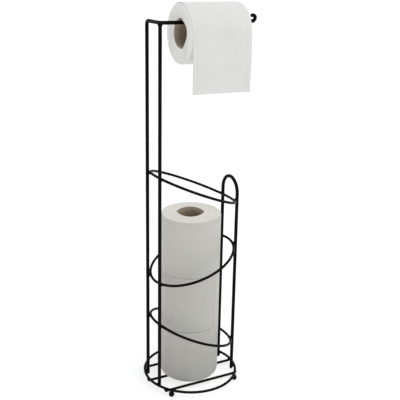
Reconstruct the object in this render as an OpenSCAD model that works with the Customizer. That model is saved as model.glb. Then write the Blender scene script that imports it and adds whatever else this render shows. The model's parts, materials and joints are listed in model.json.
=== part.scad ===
/* [Wire] */
// Diameter of the frame wire: the uprights, the roll arm and the guard arch
frame_wire_d = 6; // [4:0.5:7]
// Diameter of the lighter wire: the cage rings, the base ring and the base bars
ring_wire_d = 4.6; // [3:0.2:5]
// Inside radius of the tight bends where the arm wire turns over
bend_inner_r = 3; // [2:0.5:8]
// Space that a weld leaves between the two wires it joins
weld_gap = 0.2; // [0.15:0.05:0.3]
// How far a weld bead reaches past the smaller wire's own radius
weld_spread = 0.9; // [0.6:0.1:1.4]

/* [Cage] */
// Free space between a stored roll and the wires at its left and right
stack_side_gap = 18; // [10:0.5:30]
// Distance between the two wires on one side of the cage, centre to centre
upright_pitch = 50; // [36:1:64]
// Slope of the cage rings, in degrees, which lean to the left and right in turn
ring_tilt = 21.3; // [0:0.1:26]
// Height of the lower cage ring's centre
lower_ring_z = 96.5; // [70:0.5:130]
// Rise from the centre of one cage ring to the next
ring_rise = 132.6; // [100:0.2:150]
// Straight length of the guard arch's legs above the upper ring's welds
arch_leg_above_ring = 11.7; // [8:0.1:40]

/* [Base] */
// Diameter of the ball feet
foot_d = 10; // [8:0.5:14]
// Height that is cut off under each ball foot to give it a flat
foot_flat_depth = 0.6; // [0.3:0.1:1]
// Distance between the centres of the feet and the centre line of the nearest base bar
foot_from_bar = 9.2; // [8:0.1:18]
// How far the front and rear base bars lie in from the edge of the stored rolls
bar_inset = 7.8; // [2:0.1:14]
// How far a base bar's ends stand out past the base ring's centre line
bar_overhang = 1.5; // [0:0.1:1.8]
// Height of the uprights' lower ends above the floor
upright_end_z = 4.7; // [3:0.1:6]

/* [Arm] */
// Height of the arm's centre line above the floor
arm_z = 637.5; // [600:0.5:680]
// Length of the arm past the far end of the roll, up to where its end turns up
arm_past_roll = 29.6; // [24:0.1:60]
// Angle at which the end of the arm turns up, in degrees
tip_rise_angle = 57; // [45:1:75]
// Inside radius of the two bends in the arm's raised end
tip_inner_r = 0.8; // [0.6:0.1:3]
// Straight length between the two bends of the arm's raised end
tip_rise_length = 1.8; // [1:0.2:8]
// Straight length of the end that points back over the arm
tip_return_length = 4; // [3:0.1:8]
// Width of the slope that breaks the edge of the arm's cut end
tip_chamfer = 0.8; // [0.3:0.1:1.2]

/* [Rolls] */
// Outer diameter of a full roll, as stored in the cage
roll_d = 105; // [90:1:125]
// Outer diameter of the roll in use on the arm
hung_roll_d = 95; // [70:1:110]
// Width of every roll, which is also the width of its paper
roll_width = 101.6; // [90:0.2:106]
// Inside diameter of the cardboard cores
core_bore_d = 41; // [38:1:48]
// Wall of the cardboard cores
core_wall = 1; // [0.6:0.1:2]
// Radius of the soft edges of the paper
roll_edge_r = 1.6; // [0.5:0.1:4]
// Distance from the left uprights to the near end of the roll on the arm
hung_roll_inset = 33; // [20:0.5:40]
// Free running space between a roll and what it rests on or beside
roll_gap = 0.3; // [0.2:0.05:0.5]
// Space between the core and the paper wound on it
wind_gap = 0.05; // [0.02:0.01:0.1]
// Distance that the stored rolls stand to the left of the cage's middle
stack_shift = 3; // [0:0.5:5]

/* [Loose sheet] */
// Thickness of the loose sheet, two plies and their embossing
sheet_thickness = 0.5; // [0.3:0.1:0.8]
// Length that hangs below the level of the roll's centre
sheet_drop = 88.5; // [60:0.5:110]
// Angle over which the sheet still lies on the roll, in degrees
sheet_wrap = 115; // [60:5:150]
// How far the sheet stands forward of a plumb line at its first fold
sheet_fold_out = 1.2; // [0:0.1:3]
// Depth of that fold below the level of the roll's centre
sheet_fold_drop = 42.5; // [20:0.5:55]

/* [Hidden] */

WIRE_BLACK = "#141414";
PAPER_WHITE = "#f2f1ec";
CORE_BROWN = "#8d7a62";
LEFT = -1;
RIGHT = 1;
FRONT = -1;
REAR = 1;
round_fn = 96;
small_fn = 48;
cut_over = 10;

// Wire radii, the distance between the centre lines of two welded wires, and how far the face
// of a weld bead lies off the wire that it grips
frame_r = frame_wire_d / 2;
ring_r = ring_wire_d / 2;
upright_to_ring = frame_r + ring_r + weld_gap;
ring_to_ring = 2 * ring_r + weld_gap;
bead_ease = weld_gap / 6;

// Uprights, seen from above: four wires at the corners of a rectangle
upright_x = roll_d / 2 + stack_side_gap + frame_r;
upright_y = upright_pitch / 2;

// A cage ring lies inside the uprights. Seen from above it is an ellipse, whose normal at the
// weld leans by weld_lean from the left to right direction
weld_lean = atan(upright_y * pow(cos(ring_tilt), 2) / (upright_x - upright_to_ring));
ring_x_at_upright = upright_x - upright_to_ring / cos(weld_lean);
cage_ring_r = sqrt(pow(ring_x_at_upright / cos(ring_tilt), 2) + pow(upright_y, 2));
weld_x = upright_x - upright_to_ring * cos(weld_lean);
weld_y = upright_y - upright_to_ring * sin(weld_lean);
weld_rise = weld_x * tan(ring_tilt);
weld_angle = atan2(weld_y, weld_x / cos(ring_tilt));
middle_ring_z = lower_ring_z + ring_rise;
upper_ring_z = middle_ring_z + ring_rise;

// The guard arch is a half circle on two legs, and the upper ring dips towards it
arch_spring_z = upper_ring_z - weld_rise + arch_leg_above_ring;

// The base ring lies outside the uprights and on top of the feet, with the bars under it. The
// bars carry the rolls
bar_pitch = roll_d / 2 - bar_inset;
upright_reach = sqrt(pow(upright_x, 2) + pow(upright_y, 2));
base_ring_r = upright_reach + upright_to_ring;
base_lean = atan2(upright_y, upright_x);
foot_r = foot_d / 2;
foot_z = foot_r - foot_flat_depth;
foot_y = bar_pitch + foot_from_bar;
foot_x = sqrt(pow(base_ring_r, 2) - pow(foot_y, 2));
base_ring_z = foot_z + foot_r + weld_gap + ring_r;
bar_z = base_ring_z - ring_to_ring;

// Arm: the bent wire runs over the left side and then along the front upright's plane
bend_r = bend_inner_r + frame_r;
tip_bend_r = tip_inner_r + frame_r;
arm_y = -upright_y;
front_upright_top = arm_z - frame_r - weld_gap;
arm_start_x = -upright_x;
arm_length = hung_roll_inset + roll_width + arm_past_roll;
tip_start = [arm_start_x + arm_length, 0];
rise_centre = tip_start + [0, tip_bend_r];
rise_start = rise_centre + tip_bend_r * [sin(tip_rise_angle), -cos(tip_rise_angle)];
rise_end = rise_start + tip_rise_length * [cos(tip_rise_angle), sin(tip_rise_angle)];
curl_centre = rise_end + tip_bend_r * [-sin(tip_rise_angle), cos(tip_rise_angle)];
tip_end = curl_centre + [-tip_return_length, tip_bend_r];

// Rolls: the one in use hangs from its core on the arm, the others stand on the bars
core_bore_r = core_bore_d / 2;
core_r = core_bore_r + core_wall;
tissue_bore_r = core_r + wind_gap;
hung_r = hung_roll_d / 2;
hung_x = arm_start_x + hung_roll_inset;
hung_z = arm_z + frame_r + roll_gap - core_bore_r;
stack_x = -stack_shift;
stack_z = bar_z + ring_r + roll_gap;
stack_rise = roll_width + roll_gap;
edge_steps = 4;
sheet_near_r = hung_r + roll_gap;
wrap_steps = 16;

// The model stands with its origin midway between its leftmost and rightmost points
cage_left = -base_ring_r - ring_r;
arm_right = curl_centre[0] + tip_bend_r + frame_r;
cage_x = -(cage_left + arm_right) / 2;

// Moves a piece from the cage's own middle to its place in the model
module placed() {
    translate([cage_x, 0, 0])
        children();
}

// Straight wire along +Z, flat at both ends
module straight(length, radius) {
    cylinder(h = length, r = radius, $fn = small_fn);
}

// Wire end with a rounded point towards -Z
module rounded_start(radius) {
    sphere(r = radius, $fn = small_fn);
}

// Wire end that points towards -Z, cut square with its edge broken
module cut_end(radius) {
    translate([0, 0, -tip_chamfer])
        cylinder(h = tip_chamfer, r1 = radius - tip_chamfer, r2 = radius, $fn = small_fn);
}

// Part of a ring of wire in the XY plane, from the +X direction round by an angle
module bend(centre_r, radius, angle, arc_fn = small_fn) {
    rotate_extrude(angle = angle, $fn = arc_fn)
        translate([centre_r, 0])
            circle(r = radius, $fn = small_fn);
}

// Full ring of wire in the XY plane
module wire_ring(centre_r) {
    rotate_extrude($fn = round_fn)
        translate([centre_r, 0])
            circle(r = ring_r, $fn = small_fn);
}

// A cage ring in its place: lean is 1 where it is high on the left and -1 on the right
module cage_ring(height, lean) {
    translate([0, 0, height])
        rotate([0, lean * ring_tilt, 0])
            wire_ring(cage_ring_r);
}

// The rear left upright, from its lower end to where the wire starts to bend
module arm_wire_upright() {
    translate([-upright_x, upright_y, upright_end_z + frame_r]) {
        rounded_start(frame_r);
        straight(arm_z - bend_r - upright_end_z - frame_r, frame_r);
    }
}

// The top bar between the two left uprights, with the bends at its ends
module arm_wire_top_bar(radius = frame_r) {
    translate([-upright_x, upright_y - bend_r, arm_z - bend_r])
        rotate([90, 0, 90])
            bend(bend_r, radius, 90);
    translate([-upright_x, upright_y - bend_r, arm_z])
        rotate([90, 0, 0])
            straight(upright_pitch - 2 * bend_r, radius);
    translate([-upright_x + bend_r, arm_y + bend_r, arm_z])
        rotate([0, 0, 180])
            bend(bend_r, radius, 90);
}

// The raised end of the arm, drawn in the arm's own upright plane
module arm_tip() {
    translate([tip_start[0], arm_y, arm_z])
        rotate([90, 0, 0]) {
            translate([0, tip_bend_r])
                rotate([0, 0, -90])
                    bend(tip_bend_r, frame_r, tip_rise_angle);
            translate(rise_start - tip_start)
                rotate([0, 0, tip_rise_angle])
                    rotate([0, 90, 0])
                        straight(tip_rise_length, frame_r);
            translate(curl_centre - tip_start)
                rotate([0, 0, tip_rise_angle - 90])
                    bend(tip_bend_r, frame_r, 180 - tip_rise_angle);
            translate(tip_end - tip_start + [tip_chamfer, 0])
                rotate([0, 90, 0]) {
                    straight(tip_return_length - tip_chamfer, frame_r);
                    cut_end(frame_r);
                }
        }
}

module arm_wire_shape() {
    union() {
        arm_wire_upright();
        arm_wire_top_bar();
        translate([arm_start_x + bend_r, arm_y, arm_z])
            rotate([0, 90, 0])
                straight(arm_length - bend_r, frame_r);
        arm_tip();
    }
}

module front_upright_shape() {
    translate([-upright_x, arm_y, upright_end_z + frame_r]) {
        rounded_start(frame_r);
        straight(front_upright_top - upright_end_z - frame_r, frame_r);
    }
}

module guard_arch_leg(side) {
    translate([upright_x, side * upright_y, upright_end_z + frame_r]) {
        rounded_start(frame_r);
        straight(arch_spring_z - upright_end_z - frame_r, frame_r);
    }
}

module guard_arch_shape() {
    union() {
        for (side = [FRONT, REAR])
            guard_arch_leg(side);
        translate([upright_x, 0, arch_spring_z])
            rotate([90, 0, 90])
                bend(upright_y, frame_r, 180, round_fn);
    }
}

module base_ring_shape() {
    translate([0, 0, base_ring_z])
        wire_ring(base_ring_r);
}

// Half the length of a base bar that lies a distance away from the middle
function bar_half_length(offset) = sqrt(pow(base_ring_r, 2) - pow(offset, 2)) + bar_overhang;

// A base bar, from left to right, with rounded ends
module base_bar_shape(offset, radius = ring_r) {
    half = bar_half_length(offset) - ring_r;
    translate([0, offset, bar_z]) {
        translate([-half, 0, 0])
            rotate([0, 90, 0])
                straight(2 * half, radius);
        for (side = [LEFT, RIGHT])
            translate([side * half, 0, 0])
                rounded_start(radius);
    }
}

// Centre of a foot, left or right and front or rear
function foot_place(across, along) = [across * foot_x, along * foot_y, foot_z];

module foot_shape(across, along) {
    translate(foot_place(across, along))
        intersection() {
            sphere(r = foot_r, $fn = round_fn);
            translate([-foot_r, -foot_r, -foot_z])
                cube(foot_d);
        }
}

// Weld metal around the point where two wires meet: a ball, less the children that cut it. The
// ball's own axis is turned to run from one wire to the other
module bead(place, radius, turn = [0, 0, 0]) {
    difference() {
        translate(place)
            rotate(turn)
                sphere(r = radius + weld_spread, $fn = small_fn);
        children();
    }
}

// A short straight stretch of ring wire that touches a ring's centre line at an angle. It is
// wider by the ring's own curve over the length of a bead, so that a bead it cuts clears the ring
module ring_cutter(centre_r, angle) {
    ring_curve = pow(ring_r + weld_spread, 2) / (2 * centre_r);
    rotate([0, 0, angle])
        translate([centre_r, 0, 0])
            rotate([90, 0, 0])
                cylinder(h = 2 * cut_over, r = ring_r + ring_curve + bead_ease, center = true,
                    $fn = small_fn);
}

// A short stretch of an upright around a height
module upright_cutter(across, along, height) {
    translate([across * upright_x, along * upright_y, height])
        cylinder(h = 2 * cut_over, r = frame_r + bead_ease, center = true, $fn = small_fn);
}

// Angle of a weld on a ring, from its angle in the front right quarter
function quarter_angle(across, along, angle) = atan2(along * sin(angle), across * cos(angle));

// A cage ring's four beads, each between the centre lines of the ring and an upright
module cage_ring_welds(height, lean) {
    share = (ring_r + weld_gap / 2) / upright_to_ring;
    bead_x = weld_x + share * (upright_x - weld_x);
    bead_y = weld_y + share * (upright_y - weld_y);
    for (across = [LEFT, RIGHT])
        for (along = [FRONT, REAR]) {
            bead_z = height - across * lean * weld_rise;
            turn = [0, 90, quarter_angle(across, along, weld_lean)];
            bead([across * bead_x, along * bead_y, bead_z], ring_r, turn) {
                upright_cutter(across, along, bead_z);
                translate([0, 0, height])
                    rotate([0, lean * ring_tilt, 0])
                        ring_cutter(cage_ring_r, quarter_angle(across, along, weld_angle));
            }
        }
}

// A bead between the base ring and an upright inside it
module base_ring_bead(across, along) {
    meet_r = upright_reach + frame_r + weld_gap / 2;
    place = [across * meet_r * cos(base_lean), along * meet_r * sin(base_lean), base_ring_z];
    bead(place, ring_r, [0, 90, quarter_angle(across, along, base_lean)]) {
        upright_cutter(across, along, base_ring_z);
        translate([0, 0, base_ring_z])
            ring_cutter(base_ring_r, quarter_angle(across, along, base_lean));
    }
}

// A bead between the base ring and one end of a bar that lies a distance from the middle
module base_bar_bead(across, offset) {
    place = [across * (bar_half_length(offset) - bar_overhang), offset];
    bead([place[0], place[1], base_ring_z - ring_to_ring / 2], ring_r) {
        base_bar_shape(offset, ring_r + bead_ease);
        translate([0, 0, base_ring_z])
            ring_cutter(base_ring_r, atan2(place[1], place[0]));
    }
}

// A bead between the base ring and a foot under it
module foot_bead(across, along) {
    place = foot_place(across, along);
    bead(place + [0, 0, foot_r + weld_gap / 2], ring_r) {
        translate(place)
            sphere(r = foot_r + bead_ease, $fn = round_fn);
        translate([0, 0, base_ring_z])
            ring_cutter(base_ring_r, atan2(place[1], place[0]));
    }
}

// A cardboard core standing on the XY plane
module core_shape() {
    difference() {
        cylinder(h = roll_width, r = core_r, $fn = round_fn);
        translate([0, 0, -cut_over])
            cylinder(h = roll_width + 2 * cut_over, r = core_bore_r, $fn = round_fn);
    }
}

// Points of a soft outer edge, from its lower to its upper end
function edge_points(outer_r, middle_z, first_angle) =
    [for (i = [0 : edge_steps])
        let (angle = first_angle + 90 * i / edge_steps)
            [outer_r - roll_edge_r + roll_edge_r * cos(angle), middle_z + roll_edge_r * sin(angle)]];

// The paper wound on a core, standing on the XY plane
module tissue_shape(outer_r) {
    rotate_extrude($fn = round_fn)
        polygon(concat([[tissue_bore_r, 0]],
            edge_points(outer_r, roll_edge_r, -90),
            edge_points(outer_r, roll_width - roll_edge_r, 0),
            [[tissue_bore_r, roll_width]]));
}

// Lays a standing roll on its side on the arm, with its ends to the left and right
module hung() {
    translate([hung_x, arm_y, hung_z])
        rotate([0, 90, 0])
            children();
}

// Puts a standing roll in the stack, counted from 0 at the bottom
module stored(level) {
    translate([stack_x, 0, stack_z + level * stack_rise])
        children();
}

// Outline of the loose sheet, seen from the left: x is the distance in front of the roll's
// centre and y the height above it. The sheet leaves the roll at the level of its centre
function wrap_points(radius) =
    [for (i = [0 : wrap_steps])
        let (angle = sheet_wrap * (1 - i / wrap_steps))
            [radius * cos(angle), radius * sin(angle)]];
function drop_points(offset) =
    [[offset + sheet_fold_out, -sheet_fold_drop], [offset, -sheet_drop]];
function reversed(points) = [for (i = [len(points) - 1 : -1 : 0]) points[i]];

module loose_sheet_shape() {
    translate([hung_x, arm_y, hung_z])
        rotate([90, 0, -90])
            mirror([0, 0, 1])
                linear_extrude(height = roll_width)
                    polygon(concat(wrap_points(sheet_near_r), drop_points(sheet_near_r),
                        reversed(drop_points(sheet_near_r + sheet_thickness)),
                        reversed(wrap_points(sheet_near_r + sheet_thickness))));
}

module arm_wire() {
    color(WIRE_BLACK)
        placed()
            arm_wire_shape();
}

module front_upright() {
    color(WIRE_BLACK)
        placed()
            front_upright_shape();
}

module guard_arch() {
    color(WIRE_BLACK)
        placed()
            guard_arch_shape();
}

module upper_ring() {
    color(WIRE_BLACK)
        placed()
            cage_ring(upper_ring_z, 1);
}

module middle_ring() {
    color(WIRE_BLACK)
        placed()
            cage_ring(middle_ring_z, -1);
}

module lower_ring() {
    color(WIRE_BLACK)
        placed()
            cage_ring(lower_ring_z, 1);
}

module base_ring() {
    color(WIRE_BLACK)
        placed()
            base_ring_shape();
}

module base_bar(row) {
    color(WIRE_BLACK)
        placed()
            base_bar_shape(row * bar_pitch);
}

module foot(across, along) {
    color(WIRE_BLACK)
        placed()
            foot_shape(across, along);
}

module upper_ring_welds() {
    color(WIRE_BLACK)
        placed()
            cage_ring_welds(upper_ring_z, 1);
}

module middle_ring_welds() {
    color(WIRE_BLACK)
        placed()
            cage_ring_welds(middle_ring_z, -1);
}

module lower_ring_welds() {
    color(WIRE_BLACK)
        placed()
            cage_ring_welds(lower_ring_z, 1);
}

module base_ring_welds() {
    color(WIRE_BLACK)
        placed()
            for (across = [LEFT, RIGHT])
                for (along = [FRONT, REAR])
                    base_ring_bead(across, along);
}

module base_bar_welds() {
    color(WIRE_BLACK)
        placed()
            for (across = [LEFT, RIGHT])
                for (row = [-1 : 1])
                    base_bar_bead(across, row * bar_pitch);
}

module foot_welds() {
    color(WIRE_BLACK)
        placed()
            for (across = [LEFT, RIGHT])
                for (along = [FRONT, REAR])
                    foot_bead(across, along);
}

// Bead that joins the front upright to the bend of the arm wire over it
module arm_joint_weld() {
    color(WIRE_BLACK)
        placed()
            bead([-upright_x, arm_y, arm_z - frame_r], frame_r) {
                arm_wire_top_bar(frame_r + bead_ease);
                upright_cutter(LEFT, FRONT, front_upright_top - cut_over + bead_ease);
            }
}

module hung_core() {
    color(CORE_BROWN)
        placed()
            hung()
                core_shape();
}

module hung_tissue() {
    color(PAPER_WHITE)
        placed()
            hung()
                tissue_shape(hung_r);
}

module loose_sheet() {
    color(PAPER_WHITE)
        placed()
            loose_sheet_shape();
}

module stored_core(level) {
    color(CORE_BROWN)
        placed()
            stored(level)
                core_shape();
}

module stored_tissue(level) {
    color(PAPER_WHITE)
        placed()
            stored(level)
                tissue_shape(roll_d / 2);
}

arm_wire();
front_upright();
guard_arch();
upper_ring();
middle_ring();
lower_ring();
base_ring();
base_bar(-1);  // base_bar_front
base_bar(0);  // base_bar_middle
base_bar(1);  // base_bar_rear
foot(LEFT, FRONT);  // foot_front_left
foot(RIGHT, FRONT);  // foot_front_right
foot(LEFT, REAR);  // foot_rear_left
foot(RIGHT, REAR);  // foot_rear_right
upper_ring_welds();
middle_ring_welds();
lower_ring_welds();
base_ring_welds();
base_bar_welds();
foot_welds();
arm_joint_weld();
hung_core();
hung_tissue();
loose_sheet();
stored_core(0);  // stored_bottom_core
stored_tissue(0);  // stored_bottom_tissue
stored_core(1);  // stored_middle_core
stored_tissue(1);  // stored_middle_tissue
stored_core(2);  // stored_top_core
stored_tissue(2);  // stored_top_tissue
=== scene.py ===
"""Looks of the toilet roll holder: powder-coated wire, cardboard cores and soft tissue.

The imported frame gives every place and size. The rolls, their cores and the loose sheet are
modelled here in place of their plain solids; the wires, feet and welds keep theirs.
"""

import json
import math
from collections import namedtuple

import bmesh
import bpy
from mathutils import Matrix, Vector, noise


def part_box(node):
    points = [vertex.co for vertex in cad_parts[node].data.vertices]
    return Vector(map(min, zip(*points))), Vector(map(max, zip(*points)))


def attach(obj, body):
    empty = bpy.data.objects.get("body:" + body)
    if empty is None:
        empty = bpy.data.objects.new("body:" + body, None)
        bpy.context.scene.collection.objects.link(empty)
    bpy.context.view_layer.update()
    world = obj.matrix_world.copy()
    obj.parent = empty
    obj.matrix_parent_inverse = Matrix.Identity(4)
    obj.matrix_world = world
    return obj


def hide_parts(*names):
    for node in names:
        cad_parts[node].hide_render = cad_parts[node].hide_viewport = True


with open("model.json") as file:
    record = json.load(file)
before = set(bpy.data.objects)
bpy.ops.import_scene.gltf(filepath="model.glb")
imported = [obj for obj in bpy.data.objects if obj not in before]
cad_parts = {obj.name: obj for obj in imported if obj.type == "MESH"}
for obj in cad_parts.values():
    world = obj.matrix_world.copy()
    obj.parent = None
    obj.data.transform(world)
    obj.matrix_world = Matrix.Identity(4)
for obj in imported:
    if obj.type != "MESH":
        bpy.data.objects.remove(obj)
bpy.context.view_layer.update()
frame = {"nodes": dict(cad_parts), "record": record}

MM = 0.001
FULL_TURN = 2 * math.pi
BOX_SIDE = {"x": 0, "y": 1, "z": 2}

# Camera, fitted to the wires in the photograph
CAMERA_PLACE = Vector((-0.5574, -1.0686, 0.7240))
CAMERA_AZIMUTH = math.radians(-27.87)
CAMERA_PITCH = math.radians(17.80)
CAMERA_ROLL = math.radians(1.106)
CAMERA_LENS = 66.19
SENSOR_WIDTH = 36
CAMERA_REACH = 100

# Studio
FLOOR_HALF = 40.0
AIR_COLOUR = (0.98, 0.99, 1.0, 1)
AIR_STRENGTH = 0.65
SUN_STRENGTH = 1.4
SUN_WIDTH = math.radians(60)
SUN_TURN = (math.radians(20), math.radians(18), 0)
RIM_TARGET = Vector((0, 0, 0.35))
RIM_SIZE = (0.5, 1.6)

# Paper, as it is wound and embossed
PAPER_WIDTH = 101.6 * MM
SQUARE_LENGTH = 115 * MM

# Rolls
LAYER_STEP = 0.3 * MM
STEP_WIDTH = 0.3 * MM
SIDE_DENT = 0.5 * MM
END_RIPPLE = 0.35 * MM
END_HOLLOW = 0.5 * MM
END_SWAY = 0.6 * MM
HUNG_EDGES = (1.4 * MM, 3.0 * MM)
HUNG_BULGE = 1.0 * MM
TIGHT_EDGE = 1.3 * MM
SOFT_EDGE = 3.2 * MM
SAGGED_EDGE = 12.0 * MM
TOP_SLANT = 3.5 * MM
ANGLE_STEPS = 180
END_STEPS = 44
EDGE_STEPS = 6
SIDE_STEPS = 28

# Cores
CORE_WALL = 1.0 * MM
CORE_INSET = 0.4 * MM
CORE_GAP = 0.05 * MM
CORE_STEPS = 10
BORE_R = 20.5 * MM

# Loose sheet, along it from its start behind the roll to its torn edge
SHEET_WRAP = math.radians(114)
SHEET_THICKNESS = 0.35 * MM
SHEET_GAP = 0.4 * MM
SHEET_OVERHANG = 0.8 * MM
SHEET_ROWS = 150
SHEET_COLUMNS = 84
SETTLE_LENGTH = 50 * MM
START_SINK = 0.2 * MM
START_INSET = 2.4 * MM
WRAP_LIFT = 0.1 * MM
EASE_LENGTH = 35 * MM
FOLD_DROP = 42.5 * MM
FOLD_OUT = 1.6 * MM
FOLD_SPREAD = 16 * MM
RIPPLE = 1.3 * MM
CURL = 2.2 * MM
FALL_SLANT = 0.013
TOOTH = 0.25 * MM

# The materials of a roll: how light the side is at both ends and how light the end faces are,
# its red and blue against green, and how far that tint wanders. The side and end levels hold
# painted shade: the stored rolls are painted darker than the roll in use, and each darker
# towards its low end, so that the stack darkens towards the floor
Look = namedtuple("Look", "levels end_level tint drift")
STORED_TINT = (1.045, 0.937)
STORED_DRIFT = 0.05
LOOKS = {
    "hung": Look((0.745, 0.745), 0.78, (1.005, 0.968), 0.01),
    "stored_top": Look((0.515, 0.56), 0.75, STORED_TINT, STORED_DRIFT),
    "stored_middle": Look((0.485, 0.515), 0.60, STORED_TINT, STORED_DRIFT),
    "stored_bottom": Look((0.37, 0.485), 0.52, STORED_TINT, STORED_DRIFT),
}
# Two levels of one board: the stored cores are painted darker than the hung core, as painted shade
# inside the stack
BOARD_LEVELS = {"hung": 0.26, "stored": 0.22}

# A point of a roll's outline: its place, its distance along the winding and across the paper,
# the depth of its layer, and the kind of the face that starts there, which is a material number
Point = namedtuple("Point", "place along across depth kind")
SIDE_FACE = 0
END_FACE = 1


def linked(name, data):
    """A new object of the scene with the given data."""
    made = bpy.data.objects.new(name, data)
    bpy.context.scene.collection.objects.link(made)
    return made


def outward(angle):
    """Unit vector that points away from a roll's axis."""
    return Vector((math.cos(angle), math.sin(angle), 0))


def grey(level, warm=1.0, cool=1.0):
    return (level * warm, level, level * cool, 1.0)


def board_brown(level):
    return grey(level, 1.23, 0.77)


class Shader:
    """The node tree of a new material, with short calls for the nodes that are used here."""

    def __init__(self, name):
        self.material = bpy.data.materials.new(name)
        self.material.use_nodes = True
        self.tree = self.material.node_tree
        self.surface = self.tree.nodes["Principled BSDF"]

    def put(self, socket, value):
        if isinstance(value, bpy.types.NodeSocket):
            self.tree.links.new(value, socket)
        else:
            socket.default_value = value

    def node(self, kind, inputs=(), **settings):
        made = self.tree.nodes.new("ShaderNode" + kind)
        for key, value in settings.items():
            setattr(made, key, value)
        for key, value in dict(inputs).items():
            self.put(made.inputs[key], value)
        return made

    def math(self, operation, *values):
        made = self.node("Math", operation=operation)
        for socket, value in zip(made.inputs, values):
            self.put(socket, value)
        return made.outputs[0]

    def sine(self, distance, pitch):
        """A wave from -1 to 1 that repeats with the pitch."""
        return self.math("SINE", self.math("MULTIPLY", distance, FULL_TURN / pitch))

    def from_line(self, distance, pitch):
        """How far it is to the nearest of the lines that repeat with the pitch."""
        share = self.math("FRACT", self.math("DIVIDE", distance, pitch))
        nearest = self.math("MINIMUM", share, self.math("SUBTRACT", 1.0, share))
        return self.math("MULTIPLY", nearest, pitch)

    def place(self):
        return self.node("TexCoord").outputs["Object"]

    def paper_place(self):
        """Distance along the winding, and distance across the paper, in metres."""
        split = self.node("SeparateXYZ", {"Vector": self.node("UVMap", uv_map="Paper").outputs[0]})
        return split.outputs["X"], split.outputs["Y"]

    def noise(self, vector, scale, detail=3.0, stretch=(1, 1, 1)):
        mapped = self.node("Mapping", {"Vector": vector, "Scale": stretch})
        return self.node("TexNoise", {
            "Vector": mapped.outputs[0], "Scale": scale, "Detail": detail, "Roughness": 0.55,
        }).outputs["Fac"]

    def line_noise(self, along, scale, detail=2.0):
        return self.node("TexNoise", {"W": along, "Scale": scale, "Detail": detail},
                         noise_dimensions="1D").outputs["Fac"]

    def spread(self, value, low, high, from_low=0.3, from_high=0.7):
        return self.node("MapRange", {
            "Value": value, "From Min": from_low, "From Max": from_high,
            "To Min": low, "To Max": high,
        }).outputs["Result"]

    def mix(self, factor, first, second):
        made = self.node("Mix", data_type="RGBA")
        self.put(made.inputs["Factor"], factor)
        self.put(made.inputs["A"], first)
        self.put(made.inputs["B"], second)
        return made.outputs["Result"]

    def bump(self, height, distance, below=None):
        made = self.node("Bump", {"Height": height, "Distance": distance})
        if below is not None:
            self.put(made.inputs["Normal"], below)
        return made.outputs["Normal"]

    def finish(self, **sockets):
        for key, value in sockets.items():
            self.put(self.surface.inputs[key.replace("_", " ")], value)
        return self.material


def powder_coat(name, lumps):
    """Black powder coat: satin, with fine orange peel. lumps is the depth of the unevenness."""
    dark = grey(0.0015)
    light = grey(0.0035)
    peel_depth = 0.02 * MM
    s = Shader(name)
    place = s.place()
    patches = s.noise(place, scale=160)
    peel = s.noise(place, scale=1500, detail=2.0)
    swell = s.noise(place, scale=420, detail=2.0)
    colour = s.mix(s.spread(patches, 0, 1), dark, light)
    rough = s.math("ADD", s.spread(patches, 0.36, 0.46), s.spread(peel, 0.0, 0.10))
    relief = s.bump(peel, peel_depth, s.bump(swell, lumps))
    return s.finish(Base_Color=colour, Roughness=rough, Normal=relief, Specular_IOR_Level=0.06)


def emboss(s, along, across):
    """Height of the paper's embossing: small pillows, an edge band and a row of slits."""
    pillow_pitch = 2.1 * MM
    edge_inset = 7.0 * MM
    band_width = 0.9 * MM
    dot_pitch = 1.6 * MM
    slit_width = 0.35 * MM
    slit_pitch = 3.2 * MM
    slit_level = -0.45
    pillows = s.math("MULTIPLY", s.sine(along, pillow_pitch), s.sine(across, pillow_pitch))
    from_middle = s.math("ABSOLUTE", s.math("SUBTRACT", across, PAPER_WIDTH / 2))
    from_band = s.math("ABSOLUTE", s.math("SUBTRACT", from_middle, PAPER_WIDTH / 2 - edge_inset))
    band = s.spread(from_band, 1, 0, 0, band_width)
    dots = s.spread(s.sine(along, dot_pitch), 0.4, 1, -1, 1)
    pressed = s.math("MULTIPLY", band, dots)
    tear = s.spread(s.from_line(along, SQUARE_LENGTH), 1, 0, 0, slit_width)
    cut = s.math("GREATER_THAN", s.sine(across, slit_pitch), slit_level)
    slits = s.math("MULTIPLY", tear, cut)
    return pillows, pressed, slits


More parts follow.
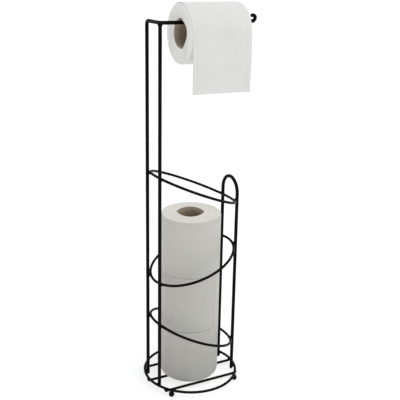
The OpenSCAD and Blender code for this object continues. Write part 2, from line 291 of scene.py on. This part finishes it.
def paper_outside(name, look):
    """The outer face of the tissue: matt, soft, embossed, with faint clouds in its tone, and with
    painted shade running from its level at the roll's low end to that at its high end.
    """
    cloud_shade, cloud_share = 0.7, 0.12
    fibre_shade, fibre_share = 0.82, 0.10
    recess_shade, mark_share = 0.62, 0.30
    band_mark = 0.8
    tint_shade = 0.98
    blue_drift = look.drift / 5
    wrinkle_depth = 0.5 * MM
    streak_depth = 0.45 * MM
    pillow_depth = 0.05 * MM
    pressed_depth = 0.12 * MM
    fibre_depth = 0.06 * MM
    warm, cool = look.tint
    level = sum(look.levels) / 2

    s = Shader(name)
    place = s.place()
    along, across = s.paper_place()
    pillows, pressed, slits = emboss(s, along, across)
    clouds = s.noise(place, scale=26)
    streaks = s.noise(place, scale=60, detail=2.0, stretch=(1, 1, 0.25))
    fibres = s.noise(place, scale=2200, detail=2.0)
    wrinkles = s.noise(place, scale=34, detail=2.0, stretch=(0.3, 0.3, 3))
    tints = s.spread(s.noise(place, scale=16, detail=1.0), 0, 1, 0.4, 0.6)
    low, high = (s.mix(tints, grey(end, warm, cool),
                       grey(end * tint_shade, warm - look.drift, cool - blue_drift))
                 for end in look.levels)
    # Painted shade: the side runs from its level at the low end to its level at the high end, so the
    # stored rolls darken towards the floor
    tone = s.mix(s.math("DIVIDE", across, PAPER_WIDTH), low, high)
    tone = s.mix(s.spread(clouds, cloud_share, 0), tone, grey(level * cloud_shade, warm, cool))
    tone = s.mix(s.spread(fibres, 0, fibre_share), tone, grey(level * fibre_shade, warm, cool))
    # Painted shade: the pressed dots of the edge band and the slits of the perforation are painted
    # darker, as shade in these recesses
    recess_shade_marks = s.math("MAXIMUM", s.math("MULTIPLY", pressed, band_mark), slits)
    tone = s.mix(s.math("MULTIPLY", recess_shade_marks, mark_share), tone, grey(level * recess_shade, warm, cool))
    relief = s.bump(wrinkles, wrinkle_depth, s.bump(streaks, streak_depth))
    relief = s.bump(pillows, pillow_depth, relief)
    relief = s.bump(pressed, -pressed_depth, relief)
    relief = s.bump(fibres, fibre_depth, relief)
    return s.finish(Base_Color=tone, Roughness=s.spread(fibres, 0.88, 1.0), Normal=relief,
                    Specular_IOR_Level=0.25, Sheen_Weight=0.12, Sheen_Roughness=0.6)


def paper_ends(name, look):
    """The end faces of a roll, where the edges of the wound layers show as fine rings."""
    broad_shade = 0.90
    fine_shade, fine_share = 0.78, 0.30
    sway_depth = 0.9 * MM
    fine_depth = 0.10 * MM
    broad_depth = 0.18 * MM
    dust_depth = 0.05 * MM
    # The end level holds painted shade: the end faces of the lower stored rolls are painted darker
    level = look.end_level
    warm, cool = look.tint

    s = Shader(name)
    place = s.place()
    _, depth = s.paper_place()
    layer = s.math("ADD", depth, s.math("MULTIPLY", s.noise(place, scale=45, detail=2.0), sway_depth))
    fine = s.line_noise(layer, scale=2600)
    broad = s.line_noise(layer, scale=420)
    dust = s.noise(place, scale=1400, detail=2.0)
    tone = s.mix(s.spread(broad, 0, 1), grey(level * broad_shade, warm, cool), grey(level, warm, cool))
    tone = s.mix(s.spread(fine, 0, fine_share), tone, grey(level * fine_shade, warm, cool))
    relief = s.bump(fine, fine_depth, s.bump(broad, broad_depth))
    relief = s.bump(dust, dust_depth, relief)
    return s.finish(Base_Color=tone, Roughness=s.spread(dust, 0.9, 1.0), Normal=relief,
                    Specular_IOR_Level=0.2, Sheen_Weight=0.10, Sheen_Roughness=0.6)


def core_board(name, level):
    """Grey-brown board of the cores, wound from a strip, whose seam runs round as a helix."""
    strip_width = 62 * MM
    helix_slope = 0.55
    seam_width = 0.8 * MM
    light_shade = 1.42
    speck_shade, speck_share = 0.61, 0.25
    seam_shade, seam_share = 0.48, 0.5
    fibre_depth = 0.08 * MM
    seam_depth = 0.2 * MM

    s = Shader(name)
    place = s.place()
    along, across = s.paper_place()
    helix = s.math("ADD", s.math("MULTIPLY", along, helix_slope), across)
    seam = s.spread(s.from_line(helix, strip_width), 1, 0, 0, seam_width)
    fibres = s.noise(place, scale=500, stretch=(1, 1, 0.3))
    specks = s.noise(place, scale=1600, detail=2.0)
    tone = s.mix(s.spread(fibres, 0, 1), board_brown(level), board_brown(level * light_shade))
    tone = s.mix(s.spread(specks, 0, speck_share), tone, board_brown(level * speck_shade))
    tone = s.mix(s.math("MULTIPLY", seam, seam_share), tone, board_brown(level * seam_shade))
    relief = s.bump(fibres, fibre_depth, s.bump(seam, -seam_depth))
    return s.finish(Base_Color=tone, Roughness=s.spread(specks, 0.80, 0.95), Normal=relief,
                    Specular_IOR_Level=0.3)


def studio_floor(name):
    """Pale floor with some light of its own, so that it fades into the background."""
    s = Shader(name)
    clouds = s.noise(s.place(), scale=1.5, detail=2.0)
    tone = s.mix(s.spread(clouds, 0, 1), grey(0.34), grey(0.36))
    return s.finish(Base_Color=tone, Roughness=0.9, Specular_IOR_Level=0.1,
                    Emission_Color=tone, Emission_Strength=2.0)


def closed_mesh(name, angles, section, lap, materials):
    """A closed ring-shaped mesh with the paper's coordinates as its UV map.

    section(angle) gives the points of one closed outline. A face takes its kind from its first
    point: an end face has the layer's depth as its second coordinate, and a side face the
    distance across the paper. lap is the length of one turn.
    """
    rings = [section(angle) for angle in angles]
    count = len(rings[0])
    corners, uvs, kinds = [], [], []
    for i, ring in enumerate(rings):
        after = rings[(i + 1) % len(rings)]
        wrap = lap if i + 1 == len(rings) else 0.0
        first, second = i * count, (i + 1) % len(rings) * count
        for k in range(count):
            m = (k + 1) % count
            kind = ring[k].kind
            corners.append((first + k, second + k, second + m, first + m))
            kinds.append(kind)
            for point, extra in ((ring[k], 0), (after[k], wrap), (after[m], wrap), (ring[m], 0)):
                uvs.append((point.along + extra, point.depth if kind == END_FACE else point.across))
    mesh = bpy.data.meshes.new(name)
    mesh.from_pydata([point.place for ring in rings for point in ring], [], corners)
    layer = mesh.uv_layers.new(name="Paper")
    for loop, uv in zip(layer.data, uvs):
        loop.uv = uv
    for material in materials:
        mesh.materials.append(material)
    for face, kind in zip(mesh.polygons, kinds):
        face.material_index = kind
        face.use_smooth = True
    work = bmesh.new()
    work.from_mesh(mesh)
    bmesh.ops.recalc_face_normals(work, faces=work.faces)
    work.to_mesh(mesh)
    work.free()
    return linked(name, mesh)


def lens_bore(half_length, half_width, sharpness, shift):
    """A squeezed bore with soft tips at both ends of its long axis, shifted off the roll's axis."""
    def point(angle, grow=0.0):
        side = math.copysign(abs(math.sin(angle)) ** sharpness, math.sin(angle))
        return Vector(((half_length + grow) * math.cos(angle), (half_width + grow) * side, 0)) + shift
    return point


def drawn_bore(radius, bulges):
    """A round bore drawn out in places, each an angle, an extra distance and a half width."""
    def point(angle, grow=0.0):
        reach = radius + grow
        for middle, extra, half_width in bulges:
            away = math.remainder(angle - math.radians(middle), FULL_TURN)
            reach += extra * math.exp(-(away / math.radians(half_width)) ** 2)
        return outward(angle) * reach
    return point


def roll_frame(axis, low, high, turn):
    """Matrix of a roll's own frame, with its origin at its low end and +Z along its axis."""
    middle = (low + high) / 2
    if axis == "x":
        place = Vector((low.x, middle.y, middle.z))
        turned = Matrix(((0, 0, 1), (0, -1, 0), (1, 0, 0))).to_4x4()
        return Matrix.Translation(place) @ turned @ Matrix.Rotation(turn, 4, "Z")
    place = Vector((middle.x, middle.y, low.z))
    return Matrix.Translation(place) @ Matrix.Rotation(turn, 4, "Z")


class Roll:
    """One roll of tissue on its core, modelled in the place of two nodes of the frame.

    bore gives the bore's outline, seed sets its unevenness, and edges are the rounding radii at
    its low and high end. bulge is how far it is wider than its node, and slant how far one side
    of its high end rises.
    """

    def __init__(self, name, body, axis, turn, bore, paper, ends, board, seed, edges,
                 bulge=0.0, slant=0.0):
        self.bore, self.edges, self.slant = bore, edges, slant
        self.seed = Vector((seed, seed * 0.37, seed * 0.11))
        low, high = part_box(name + "_tissue")
        size = high - low
        side = BOX_SIDE[axis]
        self.width = size[side] + bulge
        self.radius = min(size[i] for i in range(3) if i != side) / 2
        matrix = roll_frame(axis, low, high, turn)
        self.add(name + "_paper_roll", self.paper_section, (paper, ends), name + "_tissue",
                 body, matrix, "tissue")
        self.add(name + "_board_core", self.core_section, (board,), name + "_core",
                 body, matrix, "core_board")

    def add(self, name, section, materials, node, body, matrix, slot):
        angles = [FULL_TURN * i / ANGLE_STEPS for i in range(ANGLE_STEPS)]
        angles[-1] = FULL_TURN - STEP_WIDTH / self.radius
        made = closed_mesh(name, angles, lambda angle: self.slanted(section(angle)),
                           FULL_TURN * self.radius, materials)
        made.matrix_world = matrix
        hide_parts(node)
        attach(made, body)

    def slanted(self, points):
        """Raises the high end towards local +Y, the more the nearer a point is to that end."""
        for point in points:
            place = point.place
            share = (place.z / self.width) ** 2 * (1 + place.y / self.radius) / 2
            place.z += self.slant * share
        return points

    def wave(self, place, scale):
        """Noise from 0 to 1 at a place in the roll."""
        return 0.5 + 0.5 * noise.noise(place * scale + self.seed)

    def side_radius(self, angle, height):
        """The outer layer: it steps down along the winding, and is a little uneven."""
        height_scale = 0.6
        step = LAYER_STEP * angle / FULL_TURN
        place = outward(angle) * self.radius
        place.z = height * height_scale
        return self.radius - step - SIDE_DENT * self.wave(place, scale=22)

    def end_depth(self, angle, layer, share):
        """How far the edges of the layers lie in from the roll's end."""
        depth_scale = 90
        sway = END_SWAY * self.wave(outward(angle), scale=1.4)
        rings = self.wave(Vector((0, 0, layer + sway)), scale=900)
        place = outward(angle)
        place.z = layer * depth_scale
        broad = self.wave(place, scale=1.3)
        return END_RIPPLE * rings + END_HOLLOW * broad * (1 - share)

    def half_section(self, angle, edge, flip):
        """Points from the bore out over an end and round its edge, the end being at height 0."""
        inner = self.bore(angle, CORE_WALL + CORE_GAP)
        level = self.width if flip else 0.0
        sign = -1 if flip else 1
        radius = self.side_radius(angle, level)
        reach = radius - inner.length
        along = angle * self.radius
        points = []

        def add(inward, height, kind):
            share = 1 - inward / reach
            place = inner.lerp(outward(angle) * radius, share)
            place.z = level + sign * height
            points.append(Point(place, along, place.z, share * reach, kind))

        for i in range(END_STEPS + 1):
            share = i / END_STEPS
            inward = reach + (edge - reach) * share
            fade = 1 - share ** 6
            add(inward, self.end_depth(angle, reach - inward, share) * fade, END_FACE)
        for i in range(1, EDGE_STEPS):
            lean = math.pi / 2 * i / EDGE_STEPS
            add(edge * (1 - math.sin(lean)), edge * (1 - math.cos(lean)),
                END_FACE if i < EDGE_STEPS / 2 else SIDE_FACE)
        return points

    def paper_section(self, angle):
        """The whole outline: out over the low end, up the side and back in over the high end."""
        low_edge, high_edge = self.edges
        start = self.half_section(angle, low_edge, False)
        end = self.half_section(angle, high_edge, True)
        side = []
        for i in range(SIDE_STEPS + 1):
            share = i / SIDE_STEPS
            height = low_edge + (self.width - low_edge - high_edge) * share
            fade = min(1, 4 * share * (1 - share))
            near_end = self.side_radius(angle, 0 if share < 0.5 else self.width)
            radius = near_end + (self.side_radius(angle, height) - near_end) * fade
            place = outward(angle) * radius
            place.z = height
            side.append(Point(place, angle * self.radius, height, 0.0, SIDE_FACE))
        back = [point._replace(kind=end[i - 1].kind if i else END_FACE)
                for i, point in enumerate(end)]
        return start + side + back[::-1]

    def core_section(self, angle):
        """The board's outline: up its outside and down its inside."""
        low, high = CORE_INSET, self.width - CORE_INSET
        points = []
        for grow, start, stop in ((CORE_WALL, low, high), (0.0, high, low)):
            for i in range(CORE_STEPS + 1):
                place = self.bore(angle, grow)
                place.z = start + (stop - start) * i / CORE_STEPS
                points.append(Point(place, angle * BORE_R, place.z, grow, SIDE_FACE))
        return points


def loose_sheet(paper, body):
    """The free end of the roll in use: it lies over the roll and hangs down in front."""
    low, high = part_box("loose_sheet")
    roll_low, roll_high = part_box("hung_tissue")
    centre_y, centre_z = (roll_low.y + roll_high.y) / 2, (roll_low.z + roll_high.z) / 2
    radius = (roll_high.z - roll_low.z) / 2 + SHEET_GAP
    wrap_length = SHEET_WRAP * radius
    drop = centre_z - low.z
    length = wrap_length + drop
    left = low.x - SHEET_OVERHANG
    width = high.x - low.x + 2 * SHEET_OVERHANG

    def wrapped(across, along, wander):
        """Place on the part that lies over the roll, whose start is pulled in and down."""
        angle = SHEET_WRAP - along / radius
        settled = min(1.0, along / SETTLE_LENGTH)
        reach = radius - START_SINK * (1 - settled) + WRAP_LIFT * settled * (0.5 + 0.5 * wander)
        inset = START_INSET * (1 - settled) * (1 - 2 * across / width)
        return Vector((left + across + inset, centre_y - reach * math.cos(angle),
                       centre_z + reach * math.sin(angle)))

    def hanging(across, fall, wander):
        """Place on the part that hangs, with its fold, its ripple and its curl."""
        unit = across / width
        ease = min(1.0, fall / EASE_LENGTH)
        fold = FOLD_OUT * math.exp(-abs(fall - FOLD_DROP) / FOLD_SPREAD)
        ripple = RIPPLE * ease * wander
        curl = CURL * (fall / drop) ** 3 * (0.5 - unit)
        out = radius + fold * ease + ripple * (fall / drop) + curl
        return Vector((left + across, centre_y - out,
                       centre_z - fall * (1 - FALL_SLANT * (1 - unit))))

    def place(across, along):
        wander = noise.noise(Vector((across * 9, along * 14, 3.7)))
        if along < wrap_length:
            return wrapped(across, along, wander)
        return hanging(across, along - wrap_length, wander)

    verts, uvs, faces = [], [], []
    for i in range(SHEET_ROWS + 1):
        along = length * i / SHEET_ROWS
        for k in range(SHEET_COLUMNS + 1):
            across = width * k / SHEET_COLUMNS
            torn = 2 * TOOTH if i == SHEET_ROWS and k % 2 == 0 else 0.0
            verts.append(place(across, along - torn))
            uvs.append((length - along, across))
    row = SHEET_COLUMNS + 1
    for i in range(SHEET_ROWS):
        for k in range(SHEET_COLUMNS):
            first = i * row + k
            faces.append((first, first + 1, first + row + 1, first + row))
    mesh = bpy.data.meshes.new("loose_paper_sheet")
    mesh.from_pydata(verts, [], faces)
    layer = mesh.uv_layers.new(name="Paper")
    for loop in mesh.loops:
        layer.data[loop.index].uv = uvs[loop.vertex_index]
    mesh.materials.append(paper)
    for face in mesh.polygons:
        face.use_smooth = True
    made = linked("loose_paper_sheet", mesh)
    thicken = made.modifiers.new("thickness", "SOLIDIFY")
    thicken.thickness = SHEET_THICKNESS
    thicken.offset = 0
    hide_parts("loose_sheet")
    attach(made, body)


def dress_wires():
    """The wires, feet and welds keep their solids and get their finish."""
    coat = powder_coat("black_powder_coat", lumps=0.03 * MM)
    weld = powder_coat("coated_weld_metal", lumps=0.25 * MM)
    for name in frame["record"]["behaviour"]["bodies"]["stand"]:
        node = frame["nodes"][name]
        node.data.materials.clear()
        node.data.materials.append(weld if "weld" in name else coat)


def build_rolls():
    """The roll in use with its loose sheet, and the three stored rolls."""
    boards = {"hung": core_board("core_board_hung", BOARD_LEVELS["hung"]),
              "stored": core_board("core_board", BOARD_LEVELS["stored"])}
    outside = {name: paper_outside(name + "_tissue_face", look) for name, look in LOOKS.items()}
    ends = {name: paper_ends(name + "_tissue_ends", look) for name, look in LOOKS.items()}

    worn = drawn_bore(20.3 * MM, ((5, 3.0 * MM, 24), (75, 4.2 * MM, 40), (155, 2.6 * MM, 17)))
    Roll("hung", "roll_in_use", "x", 0.0, worn, outside["hung"], ends["hung"], boards["hung"],
         seed=3.1, edges=HUNG_EDGES, bulge=HUNG_BULGE)

    squeezed = lens_bore(half_length=23.2 * MM, half_width=24.0 * MM, sharpness=1.5,
                         shift=Vector((-1.0, 2.5, 0)) * MM)
    for place, turn, seed, edges, slant in (
            ("bottom", -0.35, 11.3, (SAGGED_EDGE, TIGHT_EDGE), 0.0),
            ("middle", -0.60, 17.9, (TIGHT_EDGE, TIGHT_EDGE), 0.0),
            ("top", 0.0, 23.7, (TIGHT_EDGE, SOFT_EDGE), TOP_SLANT)):
        name = "stored_" + place
        Roll(name, "stored_roll_" + place, "z", CAMERA_AZIMUTH + turn, squeezed, outside[name],
             ends[name], boards["stored"], seed, edges, slant=slant)

    loose_sheet(outside["hung"], "loose_paper")


def rim_light(name, place, power):
    """A tall soft light beside and behind the holder, which the camera doesn't see."""
    light = bpy.data.lights.new(name, "AREA")
    light.shape = "RECTANGLE"
    light.size, light.size_y = RIM_SIZE
    light.energy = power
    made = linked(name, light)
    made.location = place
    made.rotation_euler = (RIM_TARGET - Vector(place)).to_track_quat("-Z", "Y").to_euler()
    made.visible_camera = False


def build_studio():
    """The floor, the even light of the air, a wide soft sun from above, and two rim lights."""
    mesh = bpy.data.meshes.new("studio_floor")
    mesh.from_pydata([(-FLOOR_HALF, -FLOOR_HALF, 0), (FLOOR_HALF, -FLOOR_HALF, 0),
                      (FLOOR_HALF, FLOOR_HALF, 0), (-FLOOR_HALF, FLOOR_HALF, 0)], [],
                     [(0, 1, 2, 3)])
    mesh.materials.append(studio_floor("studio_floor_white"))
    floor = linked("studio_floor", mesh)

    world = bpy.data.worlds.new("studio_air")
    world.use_nodes = True
    background = world.node_tree.nodes["Background"]
    background.inputs["Color"].default_value = AIR_COLOUR
    background.inputs["Strength"].default_value = AIR_STRENGTH
    bpy.context.scene.world = world

    sun = bpy.data.lights.new("soft_sun", "SUN")
    sun.energy = SUN_STRENGTH
    sun.angle = SUN_WIDTH
    linked("soft_sun", sun).rotation_euler = SUN_TURN

    rim_light("left_rim", (-1.6, 0.9, 0.7), power=7)
    rim_light("right_rim", (1.7, 0.7, 0.6), power=6)
    bpy.context.scene.view_settings.view_transform = "Standard"


def build_camera():
    """The camera at the photograph's viewing angle."""
    flat = math.cos(CAMERA_PITCH)
    forward = Vector((-math.sin(CAMERA_AZIMUTH) * flat, math.cos(CAMERA_AZIMUTH) * flat,
                      -math.sin(CAMERA_PITCH)))
    level = Vector((math.cos(CAMERA_AZIMUTH), math.sin(CAMERA_AZIMUTH), 0))
    upward = level.cross(forward)
    right = level * math.cos(CAMERA_ROLL) + upward * math.sin(CAMERA_ROLL)
    up = upward * math.cos(CAMERA_ROLL) - level * math.sin(CAMERA_ROLL)
    camera = bpy.data.cameras.new("photo_camera")
    camera.lens = CAMERA_LENS
    camera.sensor_width = SENSOR_WIDTH
    camera.clip_end = CAMERA_REACH
    holder = linked("photo_camera", camera)
    turned = Matrix((right, up, -forward)).transposed().to_4x4()
    holder.matrix_world = Matrix.Translation(CAMERA_PLACE) @ turned
    bpy.context.scene.camera = holder


dress_wires()
build_rolls()
build_studio()
build_camera()
